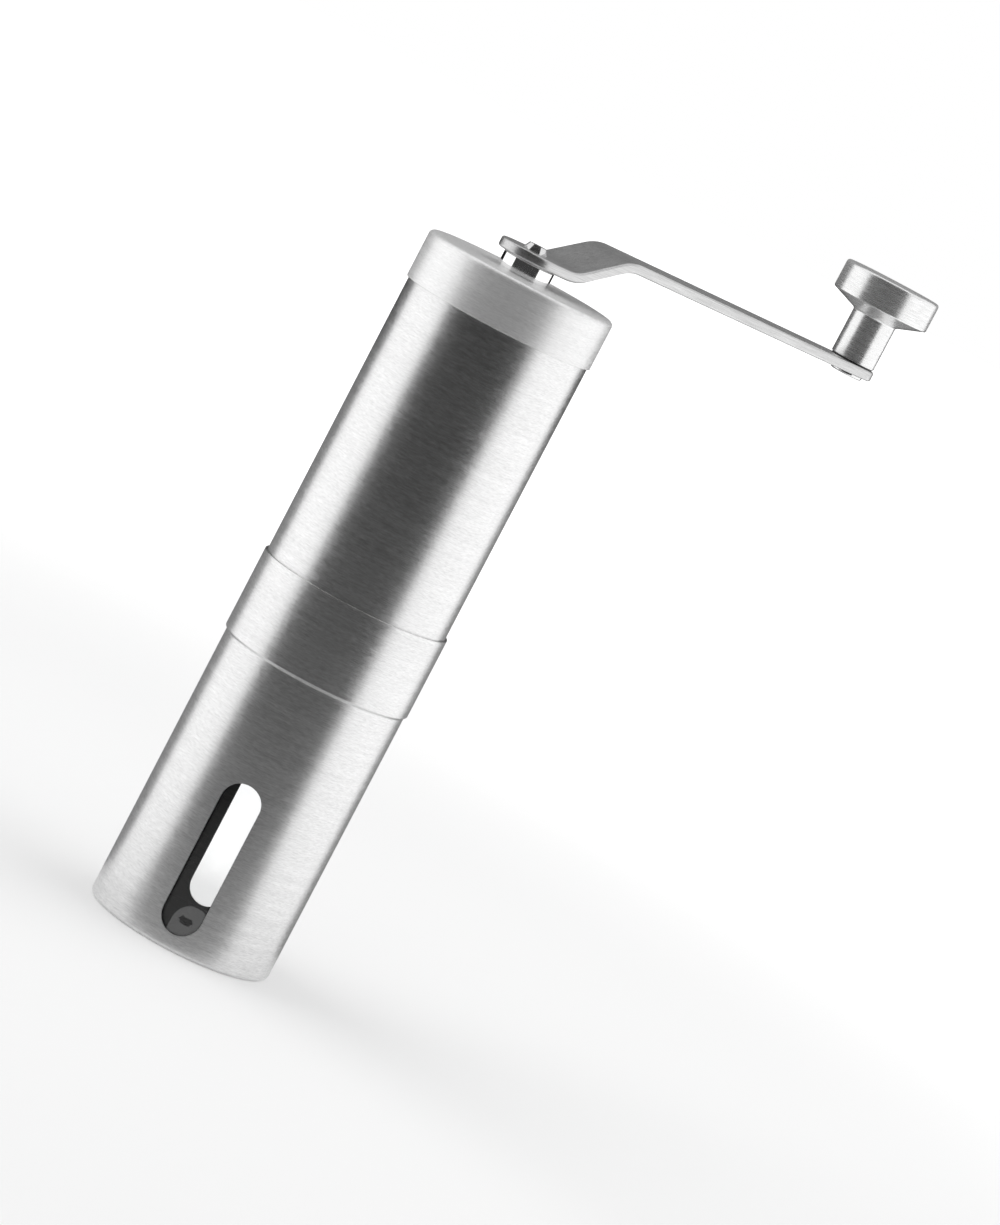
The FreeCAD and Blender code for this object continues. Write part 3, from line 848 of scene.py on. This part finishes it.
def painted_shade_steel():
    """Inside of the drawn cup, tinted nearly black as painted shade for the unlit inside, with
    faint marks round the axis.
    """
    look = Look("painted_shade_steel")
    marks = look.grain_round(length=3.0, width=0.8)
    look.finish(marks, tint=greys(0.05, 0.09), rough=(0.36, 0.50), Metallic=1.0)
    return look.material


def satin_steel():
    """Strip steel with a satin grain along the crank."""
    look = Look("satin_steel")
    fine = look.grain_along(crank_direction, length=9.0, width=0.2)
    broad = look.grain_along(crank_direction, length=25.0, width=0.7)
    grain = look.layered(fine, broad, share=0.6)
    look.finish(grain, tint=greys(0.44, 0.76), rough=(0.26, 0.42), Metallic=1.0)
    look.bump(fine, depth=0.008)
    return look.material


def bright_steel():
    """Turned bar, with faint tool marks round the axis."""
    look = Look("bright_steel")
    marks = look.grain_round(length=14.0, width=0.12)
    look.finish(marks, tint=greys(0.68, 0.82), rough=(0.12, 0.24), Metallic=1.0)
    look.bump(marks, depth=0.003)
    return look.material


def chrome():
    """Polished plating with a faint haze of handling."""
    look = Look("chrome")
    haze = look.speckle(size=2.5)
    look.finish(haze, tint=greys(0.84, 0.90), rough=(0.03, 0.10), Metallic=1.0)
    return look.material


def turned_aluminium():
    """Lathe-turned light metal with close rings."""
    look = Look("turned_aluminium")
    rings = look.grain_round(length=4.0, width=0.22)
    look.finish(rings, tint=greys(0.72, 0.94), rough=(0.22, 0.34), Metallic=0.85)
    look.draw_out(pull=0.3)
    look.bump(rings, depth=0.008)
    return look.material


def moulded(name, tint, rough, grain, depth, gloss=0.0):
    """Moulded plastic with a fine skin texture, and a gloss over it."""
    look = Look(name)
    skin = look.speckle(size=grain)
    look.shade(
        Base_Color=look.tint(look.speckle(patch_size), *tint),
        Roughness=look.span(skin, *rough),
        Specular_IOR_Level=plain_specular + gloss_specular * gloss,
        Coat_Weight=gloss,
        Coat_Roughness=coat_roughness,
    )
    look.bump(skin, depth)
    return look.material


def ceramic():
    """Unglazed white ceramic with a fine sintered grain."""
    look = Look("ceramic")
    grain = look.speckle(size=0.25)
    colour = look.tint(look.speckle(size=3.0), dark=(0.84, 0.84, 0.82), light=(0.90, 0.90, 0.88))
    look.shade(Base_Color=colour, Roughness=look.span(grain, lowest=0.42, highest=0.62))
    look.bump(grain, depth=0.012)
    return look.material


def clear_plastic():
    """Clear moulded plastic that lets shadows through."""
    look = Look("clear_plastic")
    flow = look.speckle(size=8.0)
    tint = ((0.985, 0.99, 0.99), grey(1.0))
    look.finish(flow, tint, rough=(0.0, 0.03), Transmission_Weight=1.0, IOR=1.49)
    shadow = look.node("LightPath").outputs["Is Shadow Ray"]
    look.surface(look.mix(shadow, look.shader, look.node("BsdfTransparent")))
    return look.material


def brass():
    """Machined brass."""
    look = Look("brass")
    marks = look.grain_round(length=10.0, width=0.15)
    tint = ((0.62, 0.44, 0.17), (0.76, 0.58, 0.27))
    look.finish(marks, tint, rough=(0.18, 0.34), Metallic=1.0)
    return look.material


def make_materials():
    """Materials by name: one for each slot, and those of the lid and of the cup's inside, whose
    near black is painted shade.
    """
    return {
        "brushed_steel": brushed_steel(
            "brushed_steel", tint=greys(0.62, 0.96), rough=(0.28, 0.46), pull=0.7
        ),
        "lid_steel": brushed_steel(
            "lid_steel", tint=greys(0.74, 0.96), rough=(0.36, 0.50), pull=0.4, mirror=0.65
        ),
        "painted_shade_steel": painted_shade_steel(),
        "satin_steel": satin_steel(),
        "bright_steel": bright_steel(),
        "chrome": chrome(),
        "turned_aluminium": turned_aluminium(),
        "black_plastic": moulded(
            "black_plastic", tint=greys(0.012, 0.022), rough=(0.38, 0.52), grain=0.35, depth=0.01
        ),
        "gloss_black_plastic": moulded(
            "gloss_black_plastic",
            tint=greys(0.008, 0.014),
            rough=(0.14, 0.24),
            grain=0.6,
            depth=0.003,
            gloss=1.0,
        ),
        "black_nylon": moulded(
            "black_nylon", tint=greys(0.014, 0.024), rough=(0.34, 0.46), grain=0.4, depth=0.006
        ),
        "ceramic": ceramic(),
        "clear_plastic": clear_plastic(),
        "brass": brass(),
    }


# Stage


def make_world():
    """White where it is seen, and a plain grey sky for soft light."""
    look = Look("studio", bpy.data.worlds.new("studio"))
    bpy.context.scene.world = look.material
    sky = look.node("Background", [("Color", (*grey(sky_grey), 1.0))])
    white = look.node("Background", [("Color", (*grey(1.0), 1.0))])
    look.surface(look.mix(look.seen_directly(), sky, white))


def make_sheet(name, corners):
    """A four-cornered sheet and its look, which still lacks a shader."""
    mesh = bpy.data.meshes.new(name)
    mesh.from_pydata(corners, [], [(0, 1, 2, 3)])
    look = Look(name)
    look.nodes.remove(look.shader)
    mesh.materials.append(look.material)
    return link(bpy.data.objects.new(name, mesh)), look


def make_floor():
    """Pale floor that is white where it is seen and still takes the grinder's shadow. In
    reflections it glows less close to the grinder, which is painted shade.
    """
    corners = [(-1, -1), (1, -1), (1, 1), (-1, 1)]
    places = [(x * floor_half, y * floor_half, -floor_drop) for x, y in corners]
    floor, look = make_sheet("floor", places)
    pale = look.outward(floor_near, floor_far, floor_glow, 1.0)
    seen = look.math("MULTIPLY", pale, look.seen_directly())
    # Painted shade: the floor's glow in reflections falls to nothing close to the grinder, a
    # contact shadow painted into what the metal reflects
    shaded_reflection_glow = look.outward(painted_reflection_shade_near, painted_reflection_shade_far, 0.0, floor_mirror)
    mirrored = look.math("MULTIPLY", shaded_reflection_glow, look.node("LightPath").outputs["Is Glossy Ray"])
    glow = look.node("Emission", [("Strength", look.math("MAXIMUM", seen, mirrored))])
    matt = look.node("BsdfDiffuse", [("Color", (*grey(floor_grey), 1.0))])
    look.surface(look.node("AddShader", [(0, matt.outputs[0]), (1, glow.outputs[0])]))


def make_card(name, corners, far, near=None):
    """A plain card that only reflections show, of one grey or of two that run into each other."""
    card, look = make_sheet(name, corners)
    strength = far if near is None else look.outward(0.0, foot_far, near, far)
    glow = look.node("Emission", [("Strength", strength)])
    through = look.node("BsdfTransparent")
    mirrored = look.node("LightPath").outputs["Glossy Depth"]
    look.surface(look.mix(mirrored, through, glow))
    card.visible_camera = False
    card.visible_diffuse = False
    card.visible_shadow = False


def upright(first, second, bottom, top):
    """Corners of an upright card over two points of the floor."""
    return [(*first, bottom), (*second, bottom), (*second, top), (*first, top)]


def foot(first, second, spread=0.0):
    """Corners of a card on the floor, from an upright card towards the grinder."""
    near = [(x * foot_near + math.copysign(spread, x), y * foot_near) for x, y in (second, first)]
    return [(x, y, foot_lift) for x, y in (first, second, *near)]


def make_lamp(name, spot, width, height, power):
    """A soft lamp aimed at the grinder. Reflections show the white studio in its place."""
    data = bpy.data.lights.new(name, "AREA")
    data.shape = "RECTANGLE"
    data.size = width
    data.size_y = height
    data.energy = power
    lamp = link(bpy.data.objects.new(name, data))
    lamp.location = spot
    lamp.rotation_mode = "QUATERNION"
    lamp.rotation_quaternion = (lamp_target - Vector(spot)).to_track_quat("-Z", "Y")
    lamp.visible_camera = False
    lamp.visible_glossy = False


def make_lights():
    """Soft boxes on both sides and above, and cards before and behind the grinder."""
    for name, lamp in lamps.items():
        make_lamp(name, *lamp)
    make_card("front_card", upright(*front_ends, 0.0, front_high), front_grey)
    make_card("front_foot", foot(*front_ends), front_foot_far, front_foot_near)
    make_card("back_card", upright(*back_ends, 0.0, back_high), back_grey)
    make_card("back_strip", upright(*strip_ends, strip_low, strip_high), strip_grey)
    make_card("back_foot", foot(*back_ends, back_spread), back_grey)


def make_camera():
    """Camera at the photograph's viewing angle, rolled by the grinder's lean."""
    turn = math.radians(view_azimuth)
    rise = math.radians(view_elevation)
    back = Vector(
        (math.sin(turn) * math.cos(rise), -math.cos(turn) * math.cos(rise), math.sin(rise))
    )
    data = bpy.data.cameras.new("camera")
    data.sensor_width = sensor
    data.lens = sensor * view_distance * view_scale / image_height
    camera = link(bpy.data.objects.new("camera", data))
    camera.location = (aim + back * view_distance) * MM
    camera.rotation_mode = "QUATERNION"
    level = (-back).to_track_quat("-Z", "Y")
    camera.rotation_quaternion = level @ Quaternion((0, 0, 1), math.radians(view_lean))
    bpy.context.scene.camera = camera


def clear_start():
    """Removes what a new file holds of its own."""
    for name in ("Cube", "Light", "Camera"):
        if name in bpy.data.objects:
            bpy.data.objects.remove(bpy.data.objects[name])


def dress():
    """Gives every piece its shape and material."""
    materials = make_materials()
    slots = {part["node"]: part["material_slot"] for part in frame["record"]["subparts"]}
    for node, obj in frame["nodes"].items():
        obj.data.materials.clear()
        obj.data.materials.append(materials[slots[node]])

    def put(piece, body, node, *finishes):
        """Places a piece with the finishes named, or with that of its node's slot."""
        finishes = finishes or (slots[node],)
        slot = slots[node] if node else finishes[0]
        return place(piece, body, node, slot, *(materials[finish] for finish in finishes))

    # The cup's inside takes the nearly black steel that paints the shade within the cup
    put(cup_shell(), "cup", "cup_shell", "brushed_steel", "painted_shade_steel")
    put(window_liner(), "cup", "window_liner")
    put(barrel_shell(), "barrel", "barrel_shell")
    put(lid_shell(), "lid", "lid_shell", "lid_steel")
    put(lid_collar(), "lid", "lid_collar")
    put(knob(), "handle_knob", "knob")
    put(shaft_bar(), "drive", "shaft")
    put(shaft_drive(), "drive", None, "bright_steel")
    put(shaft_thread(), "drive", None, "bright_steel")
    spring = put(pressure_spring(), "drive", "pressure_spring")
    put(ring_screws(), "barrel", "ring_screws")
    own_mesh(spring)


clear_start()
bpy.context.scene.view_settings.view_transform = "Standard"
dress()
make_world()
make_floor()
make_lights()
make_camera()
